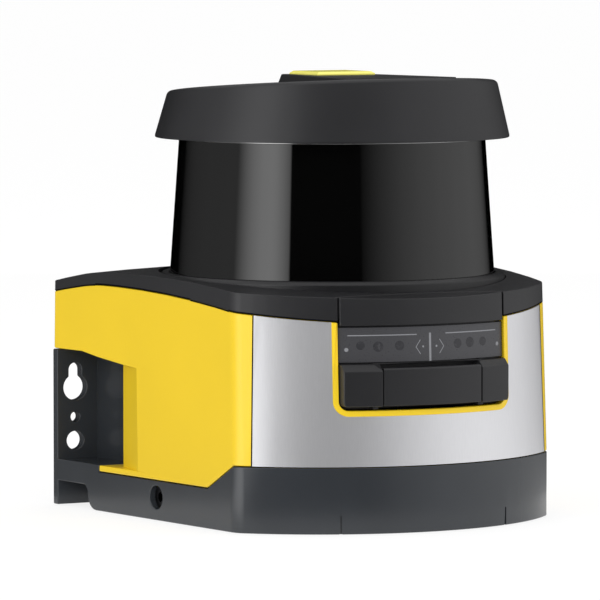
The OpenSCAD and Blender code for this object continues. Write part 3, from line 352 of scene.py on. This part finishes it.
def solder_resist():
    """Green solder resist over copper tracks of about a millimetre."""
    material, tree, shader = new_material("solder_resist", {"Roughness": 0.3, "IOR": 1.55})
    coords = object_coords(tree)
    tracks = add_node(tree, "ShaderNodeTexBrick", {"Scale": 0.25, "Mortar Size": 0.04,
                                                   "Color1": rgba("#1f5a38"),
                                                   "Color2": rgba("#246640"),
                                                   "Mortar": rgba("#3c8a58")},
                      {"Vector": coords})
    tree.links.new(tracks.outputs["Color"], shader.inputs["Base Color"])
    return material


def optical_glass():
    """Coated optical glass: clear with a faint blue-green coating."""
    material, tree, shader = new_material("optical_glass", {
        "Transmission Weight": 0.95, "IOR": 1.52, "Base Color": rgba("#dcecf0")})
    coords = object_coords(tree)
    haze = add_node(tree, "ShaderNodeTexNoise", {"Scale": 0.2}, {"Vector": coords})
    tree.links.new(spread(tree, haze.outputs["Fac"], 0.3, 0.7, 0.01, 0.03),
                   shader.inputs["Roughness"])
    return material


def front_silvered_mirror():
    """Protected silver on glass: almost perfect mirror."""
    material, tree, shader = new_material("front_silvered_mirror", {"Metallic": 1.0})
    coords = object_coords(tree)
    dust = add_node(tree, "ShaderNodeTexNoise", {"Scale": 0.5, "Detail": 3}, {"Vector": coords})
    tree.links.new(ramp(tree, dust.outputs["Fac"], [(0.3, rgba("#dfe3e6")),
                                                    (0.7, rgba("#eceff1"))]),
                   shader.inputs["Base Color"])
    tree.links.new(spread(tree, dust.outputs["Fac"], 0.3, 0.7, 0.01, 0.04),
                   shader.inputs["Roughness"])
    return material


def ivory_polyamide():
    """Ivory polyamide of terminal blocks: warm off-white, dull."""
    return grained("ivory_polyamide", {"IOR": 1.53}, srgb("#d6d2c4"),
                   vary=0.06, grain_mm=0.7, bump=0.15, rough=(0.42, 0.52))


def display_print():
    """White screen print seen through the smoked pane: soft light grey."""
    return grained("display_print", {"IOR": 1.49, "Specular IOR Level": 0.3}, colours().print,
                   vary=0.08, grain_mm=0.4, bump=0.02, rough=(0.4, 0.45))


def indicator_lens():
    """Round indicator lenses under the film: unlit, a little darker than the pane."""
    return grained("indicator_lens", {"IOR": 1.49, "Specular IOR Level": 0.3}, srgb("#333336"),
                   vary=0.3, grain_mm=1.1, bump=0.02, rough=(0.22, 0.3), patch_mm=6)


SLOT_MATERIAL = {
    "base_casting": anthracite_powder_coat, "yellow_housing": yellow_paint,
    "silver_foil": silver_film, "charcoal_plastic": charcoal_abs, "black_plastic": black_pbt,
    "smoked_window": smoked_polycarbonate, "display_pane": frosted_pane,
    "rubber": nitrile_rubber, "marker_yellow": marker_yellow, "steel": zinc_plated_steel,
    "aluminium": machined_aluminium, "copper_coils": enamelled_copper, "brass": turned_brass,
    "circuit_board": solder_resist, "lens_glass": optical_glass,
    "mirror_glass": front_silvered_mirror, "contact_beige": ivory_polyamide,
}


def material_for(slot):
    """The finish of a material slot, made once."""
    make = SLOT_MATERIAL[slot]
    return bpy.data.materials.get(make.__name__) or make()


# ---------------------------------------------------------------- pieces

def finish_piece(obj, body, slot, material=None):
    """Gives a new piece its body and its finish, which is the slot's own unless another is given.
    """
    obj.data.materials.clear()
    obj.data.materials.append(material or material_for(slot))
    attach(obj, body)
    return obj


BIG_FACE = 300 * MM * MM  # area from which a face counts as a wide facet
FACET_ANGLE = 7  # two wide facets that meet at more than this stay crisp


def mesh_object(name, bm, sharp_angle=30):
    """A mesh object made from a bmesh, shaded smooth up to a sharp angle, or up to a much
    smaller one between two wide facets."""
    for face in bm.faces:
        face.smooth = True
    for edge in bm.edges:
        bend = math.degrees(edge.calc_face_angle(0))
        wide = all(face.calc_area() > BIG_FACE for face in edge.link_faces)
        edge.smooth = bend < (FACET_ANGLE if wide else sharp_angle)
    mesh = bpy.data.meshes.new(name)
    bm.to_mesh(mesh)
    bm.free()
    obj = bpy.data.objects.new(name, mesh)
    bpy.context.scene.collection.objects.link(obj)
    return obj


def merged_copy(node):
    """A copy of a CAD node's mesh with its loose triangles joined to flat faces."""
    bm = bmesh.new()
    bm.from_mesh(NODES[node].data)
    bmesh.ops.remove_doubles(bm, verts=bm.verts, dist=0.01 * MM)
    bmesh.ops.dissolve_degenerate(bm, dist=0.005 * MM, edges=bm.edges)
    bmesh.ops.dissolve_limit(bm, angle_limit=math.radians(0.3), verts=bm.verts, edges=bm.edges)
    return bm


BEVEL_ANGLE = 28  # an edge that bends less is left as it is
BEVEL_SEGMENTS = 2
ROOM = 2.3  # surface needed on each side of an edge, as a multiple of its radius
STRAY = 0.15  # how far the surface may lie from the plane of the face, as a share of the reach
SAME_WAY = 0.85  # least cosine between the surface's normal there and the face's own
WARP = 0.02 * MM  # a face that departs more from its plane is cut to triangles


def has_room(edge, tree, reach):
    """Whether the surface runs on for a given reach on both sides of an edge."""
    middle = (edge.verts[0].co + edge.verts[1].co) / 2
    for loop in edge.link_loops:
        along = loop.link_loop_next.vert.co - loop.vert.co
        inward = loop.face.normal.cross(along).normalized()
        place, normal, _, distance = tree.find_nearest(middle + inward * reach)
        if distance > STRAY * reach or normal.dot(loop.face.normal) < SAME_WAY:
            return False
    return True


def is_warped(face):
    """Whether a face with more than three corners departs from its plane."""
    middle = face.calc_center_median()
    return len(face.verts) > 3 and max(
        abs((v.co - middle).dot(face.normal)) for v in face.verts) > WARP


def softened(node, radius):
    """A copy of a CAD node with its roomy convex edges rounded, which replaces the node."""
    bm = merged_copy(node)
    tree = BVHTree.FromBMesh(bm)
    edges = [e for e in bm.edges if e.is_convex and has_room(e, tree, ROOM * radius)
             and e.calc_face_angle(0) > math.radians(BEVEL_ANGLE)]
    bmesh.ops.bevel(bm, geom=edges, offset=radius, offset_type="OFFSET", segments=BEVEL_SEGMENTS,
                    affect="EDGES", profile=0.5, material=-1, clamp_overlap=False)
    bmesh.ops.remove_doubles(bm, verts=bm.verts, dist=0.003 * MM)
    bmesh.ops.triangulate(bm, faces=[f for f in bm.faces if is_warped(f)],
                          ngon_method="EAR_CLIP")
    obj = mesh_object(node + "_finished", bm, 50)
    normals = obj.modifiers.new("even_shading", "WEIGHTED_NORMAL")
    normals.keep_sharp = True
    finish_piece(obj, BODY_OF[node], SLOT_OF[node],
                 OTHER_FINISH[node]() if node in OTHER_FINISH else None)
    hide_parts(node)
    return obj


SOFTENED = {
    "connection_base": "casting_edge", "housing_shell": "casting_edge",
    "top_cover": "moulding_edge", "display_bezel": "moulding_edge", "usb_flap": "flap_edge",
    "cap": "moulding_edge", "rear_pillar": "moulding_edge", "collar_ring": "moulding_edge",
    "top_marker": "fine_edge", "display_window": "fine_edge", "lock_screws": "fine_edge",
    "front_foil": "foil_edge",
}
OTHER_FINISH = {"lock_screws": black_oxide_steel}


class SCANNER_OT_castings(bpy.types.Operator):
    """Rounds the edges of the castings and mouldings that show"""
    bl_idname = "scanner.castings"
    bl_label = "Castings and Mouldings"

    def execute(self, context):
        for node, size in SOFTENED.items():
            softened(node, getattr(context.scene.scanner_sizes, size))
        return {"FINISHED"}


# The display's print in front view, in millimetres from the scan axis and from the floor
FRAME_LINES = ((-16.4, 64.7, 23.0), (16.8, 64.8, 21.7))  # middle, height and length
TICK_Z, TICK_HEIGHT = 60.5, 9.2
BRACKET_X, BRACKET_Z, BRACKET_RISE = 4.4, 60.6, 1.15  # the four strokes that flank the tick
BRACKET_LENGTH, BRACKET_TURN = 2.9, 35
# each dot's and each lens's place and radius
DOTS = ((-28.3, 60.1, 0.65), (28.4, 60.2, 0.65), (-2.6, 60.7, 0.35), (2.4, 60.7, 0.35))
LENSES = ((-23.9, 61.4, 1.4), (-18.2, 61.0, 1.7), (-11.0, 61.2, 1.6),
          (10.8, 61.2, 1.6), (15.9, 61.4, 1.7), (21.6, 61.4, 1.5))


def lay_on_pane(bm, lift):
    """Moves flat print in front view back onto the display pane's outer face."""
    front = CAD_BOX[0][1] - 0.1
    pane = NODES["display_window"].data
    tree = BVHTree.FromPolygons([v.co for v in pane.vertices],
                                [p.vertices for p in pane.polygons])
    for vert in bm.verts:
        place = tree.ray_cast((vert.co.x, front, vert.co.z), (0, 1, 0))[0]
        if place is None:
            raise RuntimeError("no display pane behind the print")
        vert.co.y = place.y - lift


def print_strip(bm, x, z, width, height, turn=0.0):
    """A flat printed strip in front view, turned by an angle in degrees, in millimetres."""
    place = (Matrix.Translation((x * MM, 0, z * MM)) @ Matrix.Rotation(math.radians(turn), 4, "Y")
             @ Matrix.Rotation(math.radians(90), 4, "X")
             @ Matrix.Diagonal((width * MM, height * MM, 1, 1)))
    bmesh.ops.create_grid(bm, x_segments=max(1, math.ceil(width / 1.5)), y_segments=1, size=0.5,
                          matrix=place)


def print_dot(bm, x, z, radius):
    """A round printed dot in front view, in millimetres."""
    place = Matrix.Translation((x * MM, 0, z * MM)) @ Matrix.Rotation(math.radians(90), 4, "X")
    bmesh.ops.create_circle(bm, cap_ends=True, segments=20, radius=radius * MM, matrix=place)


class SCANNER_OT_display_print(bpy.types.Operator):
    """Prints the lines, the tick, the dots and the indicators on the display pane"""
    bl_idname = "scanner.display_print"
    bl_label = "Display Print"

    def execute(self, context):
        sizes = context.scene.scanner_sizes
        line = sizes.print_line / MM
        bm = bmesh.new()
        for x, z, length in FRAME_LINES:
            print_strip(bm, x, z, length, line)
        print_strip(bm, 0, TICK_Z, 2.2 * line, TICK_HEIGHT)
        for side in (-1, 1):
            for slope in (-1, 1):
                print_strip(bm, side * BRACKET_X, BRACKET_Z + slope * BRACKET_RISE, 0.7 * line,
                            BRACKET_LENGTH, -side * slope * BRACKET_TURN)
        for x, z, radius in DOTS:
            print_dot(bm, x, z, radius)
        lay_on_pane(bm, sizes.print_lift)
        finish_piece(mesh_object("display_print", bm), "housing", "display_pane", display_print())

        # the indicators are plain soft blots
        bm = bmesh.new()
        for x, z, radius in LENSES:
            print_dot(bm, x, z, radius)
        lay_on_pane(bm, sizes.print_lift)
        finish_piece(mesh_object("indicator_lenses", bm), "housing", "display_pane",
                     indicator_lens())
        return {"FINISHED"}


def seam_strip(bm, edge, face, width, lift):
    """A narrow strip on one face of an edge, along the edge."""
    normal = face.normal
    inward = normal.cross(edge.verts[1].co - edge.verts[0].co).normalized()
    if inward.dot(face.calc_center_median() - edge.verts[0].co) < 0:
        inward.negate()
    start, end = (vert.co + normal * lift for vert in edge.verts)
    corners = (start, end, end + inward * width, start + inward * width)
    for corner in corners:
        corner.y = min(corner.y, CAD_BOX[1][1])
    bm.faces.new([bm.verts.new(corner) for corner in corners])


UNDER = -0.7  # a face whose normal points down by more is an underside
UPRIGHT = 0.5  # a face whose normal points up or down by less is a side
REAR = 0.95  # a face whose normal points to the rear by more is the rear wall


def deck_seams(bm, width, lift):
    """Dark strips, painted shadow of the joint, along the lower outer edges of the deck's sides,
    apart from its rear wall.
    """
    deck = merged_copy("top_cover")
    tree = BVHTree.FromBMesh(deck)
    for edge in deck.edges:
        under = [f for f in edge.link_faces if f.normal.z < UNDER]
        side = [f for f in edge.link_faces if abs(f.normal.z) < UPRIGHT]
        if not (under and side and edge.is_convex) or side[0].normal.y > REAR:
            continue
        normal = side[0].normal
        middle = (edge.verts[0].co + edge.verts[1].co) / 2
        outer = normal.xy.dot(middle.xy) > 0
        if outer and tree.ray_cast(middle + normal * MM, normal)[0] is None:
            seam_strip(bm, edge, side[0], width, lift)
    deck.free()


def film_seams(bm, width, lift):
    """Dark strips, painted shadow of the joints, along the two upright ends of the silver film."""
    film = merged_copy("front_foil")
    reach = max(abs(v.co.x) for v in film.verts)
    for edge in film.edges:
        face = max(edge.link_faces, key=lambda f: f.calc_area())
        upright = abs(edge.verts[0].co.z - edge.verts[1].co.z) > 0.9 * edge.calc_length()
        at_end = max(abs(v.co.x) for v in edge.verts) > reach - 0.1 * MM
        if upright and at_end and edge.calc_face_angle(0) > math.radians(60):
            seam_strip(bm, edge, face, width, lift)
    film.free()


class SCANNER_OT_seams(bpy.types.Operator):
    """Draws the shadow lines of the joints round the deck and at the ends of the film"""
    bl_idname = "scanner.seams"
    bl_label = "Joint Lines"

    def execute(self, context):
        sizes = context.scene.scanner_sizes
        bm = bmesh.new()
        deck_seams(bm, sizes.seam, sizes.print_lift)
        film_seams(bm, sizes.seam, sizes.print_lift + sizes.foil_edge)
        # near-black strips beside the joints: painted shadow of their gaps
        finish_piece(mesh_object("joint_lines", bm), "housing", "rubber", joint_gasket())
        return {"FINISHED"}


BEAD_DROP = 0.6 * MM  # from the window's top edge to the middle of the bead
BEAD_SIDES = 8
BEAD_STEPS = 120


class SCANNER_OT_window_bead(bpy.types.Operator):
    """Runs a bead of light metallic grey round the window, close under the cap, as a painted
    highlight line
    """
    bl_idname = "scanner.window_bead"
    bl_label = "Window Bead"

    def execute(self, context):
        window = NODES["optics_window"].data.vertices
        top = max(v.co.z for v in window)
        # the window tapers towards its top, so the circle is taken from its uppermost edge
        rim = [v.co for v in window if v.co.z > top - 0.1 * MM]
        radius = max(math.hypot(place.x, place.y) for place in rim)
        reach = max(math.atan2(place.x, -place.y) for place in rim)
        thick = context.scene.scanner_sizes.bead
        bm = bmesh.new()
        bmesh.ops.create_circle(bm, segments=BEAD_SIDES, radius=thick, matrix=Matrix.Translation(
            (0, -radius, top - BEAD_DROP)) @ Matrix.Rotation(math.radians(90), 4, "Y"))
        bmesh.ops.rotate(bm, verts=bm.verts, matrix=Matrix.Rotation(-reach, 3, "Z"))
        bmesh.ops.spin(bm, geom=bm.verts[:] + bm.edges[:], cent=(0, 0, 0), axis=(0, 0, 1),
                       angle=2 * reach, steps=BEAD_STEPS)
        bmesh.ops.holes_fill(bm, edges=bm.edges, sides=BEAD_SIDES)
        bmesh.ops.recalc_face_normals(bm, faces=bm.faces)
        # light metallic grey on the window's black edge: painted highlight line
        finish_piece(mesh_object("window_bead", bm, 60), "housing", "smoked_window",
                     polished_bead())
        return {"FINISHED"}


class SCANNER_OT_inner_parts(bpy.types.Operator):
    """Gives every other CAD piece its finish"""
    bl_idname = "scanner.inner_parts"
    bl_label = "Inner Parts"

    def execute(self, context):
        for node, obj in NODES.items():
            if node in SOFTENED:
                continue
            obj.data.materials.clear()
            obj.data.materials.append(material_for(SLOT_OF[node]))
        return {"FINISHED"}


# ---------------------------------------------------------------- stage

def area_light(name, place, target, size, power):
    """A white soft box aimed at a point; the cards stand in for it in reflections."""
    light = bpy.data.lights.new(name, "AREA")
    light.shape = "RECTANGLE"
    light.size, light.size_y = size
    light.energy = power
    obj = bpy.data.objects.new(name, light)
    obj.location = place
    obj.rotation_euler = (Vector(target) - Vector(place)).to_track_quat("-Z", "Y").to_euler()
    obj.visible_glossy = False
    bpy.context.scene.collection.objects.link(obj)


def seen_rays(tree):
    """One for rays that see the backdrop: from the camera, off gloss and through glass."""
    path = add_node(tree, "ShaderNodeLightPath")
    rays = add_node(tree, "ShaderNodeMath", {"operation": "MAXIMUM"},
                    {0: path.outputs["Is Camera Ray"], 1: path.outputs["Is Glossy Ray"]})
    rays = add_node(tree, "ShaderNodeMath", {"operation": "MAXIMUM"},
                    {0: rays.outputs[0], 1: path.outputs["Is Transmission Ray"]})
    return rays.outputs[0]


# A soft card is brightest at its heading and fades to nothing over its reach to either side.
# Headings are degrees from the front, positive towards +X.
Card = namedtuple("Card", "heading left_reach right_reach brightness")
CARDS = (
    Card(heading=-73, left_reach=28, right_reach=20, brightness=2.5),  # key card on the left
    Card(heading=-90, left_reach=80, right_reach=40, brightness=0.4),  # its wide, dim spill
    Card(heading=56, left_reach=66, right_reach=66, brightness=0.88),  # broad card on the right
)
FLAG = (-58.5, -8)  # black flag between the cards, which ends the key card sharply
FLAG_EDGE = 0.5  # its light fades over this many degrees to each side of its edge


def card_light(heading):
    """Brightness of all cards at a heading; each falls off as the cosine does."""
    if FLAG[0] < heading < FLAG[1]:
        return 0.0
    light = 0.0
    for card in CARDS:
        away = heading - card.heading
        share = abs(away) / (card.right_reach if away > 0 else card.left_reach)
        if share < 1:
            light += card.brightness * math.cos(share * math.pi / 2)
    return light


def card_headings():
    """Headings that follow the flag's edges and every card's fall-off closely, in order."""
    headings = {-180, 180}
    headings.update(end + side * FLAG_EDGE for end in FLAG for side in (-1, 1))
    for card in CARDS:
        for quarter in range(5):
            headings.add(card.heading - card.left_reach * quarter / 4)
            headings.add(card.heading + card.right_reach * quarter / 4)
    flagged = {angle for angle in headings if FLAG[0] + FLAG_EDGE < angle < FLAG[1] - FLAG_EDGE}
    return sorted(headings - flagged)


# Profile of the ring that bears the cards, as radius and height in metres: the floor round the
# object, then an upright wall. The inner edge lies just under the object's lower face.
CARD_RING = ((0.12, -0.0001), (1.3, 0.001), (1.3, 1.1))


def reflected_cards():
    """Soft studio cards on the floor and upright all round, seen only in gloss."""
    bm = bmesh.new()
    profile = [bm.verts.new((0, radius, height)) for radius, height in CARD_RING]
    sides = [bm.edges.new(pair) for pair in zip(profile, profile[1:])]
    bmesh.ops.spin(bm, geom=profile + sides, cent=(0, 0, 0), axis=(0, 0, 1),
                   angle=math.tau, steps=72, use_merge=True)
    ring = mesh_object("reflected_cards", bm, 60)
    material, tree, _ = new_material("studio_cards", {})
    coords = add_node(tree, "ShaderNodeTexCoord")
    # turned so that the gradient's seam lies behind the object
    turned = add_node(tree, "ShaderNodeMapping", {"Rotation": (0, 0, math.radians(90))},
                      {"Vector": coords.outputs["Object"]})
    heading = add_node(tree, "ShaderNodeTexGradient", {"gradient_type": "RADIAL"},
                       {"Vector": turned.outputs["Vector"]})
    headings = card_headings()
    brightest = max(card_light(angle) for angle in headings)
    tone = ramp(tree, heading.outputs["Fac"],
                [((angle + 180) / 360, (*[card_light(angle) / brightest] * 3, 1))
                 for angle in headings])
    card = add_node(tree, "ShaderNodeEmission", {"Strength": brightest}, {"Color": tone})
    tree.links.new(card.outputs[0], tree.nodes["Material Output"].inputs["Surface"])
    ring.data.materials.append(material)
    ring.visible_camera = ring.visible_diffuse = ring.visible_shadow = False
    ring.visible_transmission = False


FLOOR_HALF_WIDTH = 60  # metres
FLOOR_GAP = 0.2 * MM
FLOOR_GLOW = 1.085  # with FLOOR_MIX, makes the lit floor as white as the backdrop
FLOOR_MIX = 0.75
BACKDROP_LIGHT = 0.75  # of the world on matt surfaces; what is seen of it stays at 1
CAMERA_LENS, SENSOR_WIDTH = 337.463, 36  # millimetres
CAMERA_PLACE = (-0.904982, -1.660856, 0.1999)
CAMERA_TURN, CAMERA_TILT = 28.2579, 3.8749  # degrees, to the right and down


class SCANNER_OT_stage(bpy.types.Operator):
    """Sets up the floor, the soft boxes, the reflected cards and the camera"""
    bl_idname = "scanner.stage"
    bl_label = "Stage"

    def execute(self, context):
        scene = context.scene
        scene.view_settings.view_transform = "Standard"
        world = bpy.data.worlds.new("studio")
        scene.world = world
        world.use_nodes = True
        tree = world.node_tree
        backdrop = tree.nodes["Background"]
        backdrop.inputs["Color"].default_value = rgba("#ffffff")
        tree.links.new(spread(tree, seen_rays(tree), 0, 1, BACKDROP_LIGHT, 1.0),
                       backdrop.inputs["Strength"])

        # white vinyl floor: keeps part of the object's shadow, and is otherwise as white
        # as the backdrop behind it
        bm = bmesh.new()
        bmesh.ops.create_grid(bm, x_segments=1, y_segments=1, size=FLOOR_HALF_WIDTH)
        floor = mesh_object("floor", bm)
        floor.location.z = CAD_BOX[0][2] - FLOOR_GAP
        material, tree, shader = new_material("white_vinyl_floor", {
            "Base Color": rgba("#f2f2f2"), "Roughness": 0.7, "Specular IOR Level": 0.2})
        glow = add_node(tree, "ShaderNodeEmission", {"Color": rgba("#ffffff"),
                                                     "Strength": FLOOR_GLOW})
        mix = add_node(tree, "ShaderNodeMixShader", links={
            0: spread(tree, seen_rays(tree), 0, 1, 0, FLOOR_MIX), 1: shader.outputs[0],
            2: glow.outputs[0]})
        tree.links.new(mix.outputs[0], tree.nodes["Material Output"].inputs["Surface"])
        floor.data.materials.append(material)

        area_light("left_softbox", (-1.5, -0.85, 0.5), (0, 0, 0.07), (0.9, 1.0), 10.5)
        area_light("front_softbox", (-0.6, -2.2, 0.35), (0, 0, 0.05), (1.2, 0.6), 7.5)
        area_light("right_softbox", (1.5, -1.2, 0.9), (0, 0, 0.07), (0.9, 1.3), 8)
        area_light("top_softbox", (0.0, 0.1, 1.6), (0, 0, 0.1), (1.4, 1.4), 5)
        reflected_cards()

        camera = bpy.data.cameras.new("camera")
        camera.lens = CAMERA_LENS
        camera.sensor_width = SENSOR_WIDTH
        camera.clip_end = 200
        eye = bpy.data.objects.new("camera", camera)
        eye.location = CAMERA_PLACE
        turn = math.radians(CAMERA_TURN)
        tilt = math.radians(CAMERA_TILT)
        aim = Vector((math.sin(turn) * math.cos(tilt), math.cos(turn) * math.cos(tilt),
                      -math.sin(tilt)))
        eye.rotation_euler = aim.to_track_quat("-Z", "Y").to_euler()
        scene.collection.objects.link(eye)
        scene.camera = eye
        return {"FINISHED"}


class SCANNER_PT_panel(bpy.types.Panel):
    """Lists the steps that dress the scanner"""
    bl_idname = "SCANNER_PT_panel"
    bl_label = "Safety Laser Scanner"
    bl_space_type = "VIEW_3D"
    bl_region_type = "UI"
    bl_category = "Scanner"

    def draw(self, context):
        for operator in OPERATORS:
            self.layout.operator(operator.bl_idname)
        for group in (context.scene.scanner_sizes, context.scene.scanner_colours):
            box = self.layout.box()
            for name in group.bl_rna.properties.keys():
                if name not in ("rna_type", "name"):
                    box.prop(group, name)


OPERATORS = (SCANNER_OT_castings, SCANNER_OT_seams, SCANNER_OT_window_bead,
             SCANNER_OT_display_print, SCANNER_OT_inner_parts, SCANNER_OT_stage)
CLASSES = (ScannerColours, ScannerSizes, *OPERATORS, SCANNER_PT_panel)


def register():
    """Adds the panel, the operators and the scene's settings."""
    for cls in CLASSES:
        bpy.utils.register_class(cls)
    bpy.types.Scene.scanner_colours = PointerProperty(type=ScannerColours)
    bpy.types.Scene.scanner_sizes = PointerProperty(type=ScannerSizes)


def unregister():
    """Takes away what register() added."""
    del bpy.types.Scene.scanner_colours
    del bpy.types.Scene.scanner_sizes
    for cls in reversed(CLASSES):
        bpy.utils.unregister_class(cls)


def main():
    """Registers the add-on and builds the pieces in order."""
    register()
    for operator in OPERATORS:
        name = operator.bl_idname.split(".")[1]
        getattr(bpy.ops.scanner, name)()


if __name__ == "__main__":
    main()
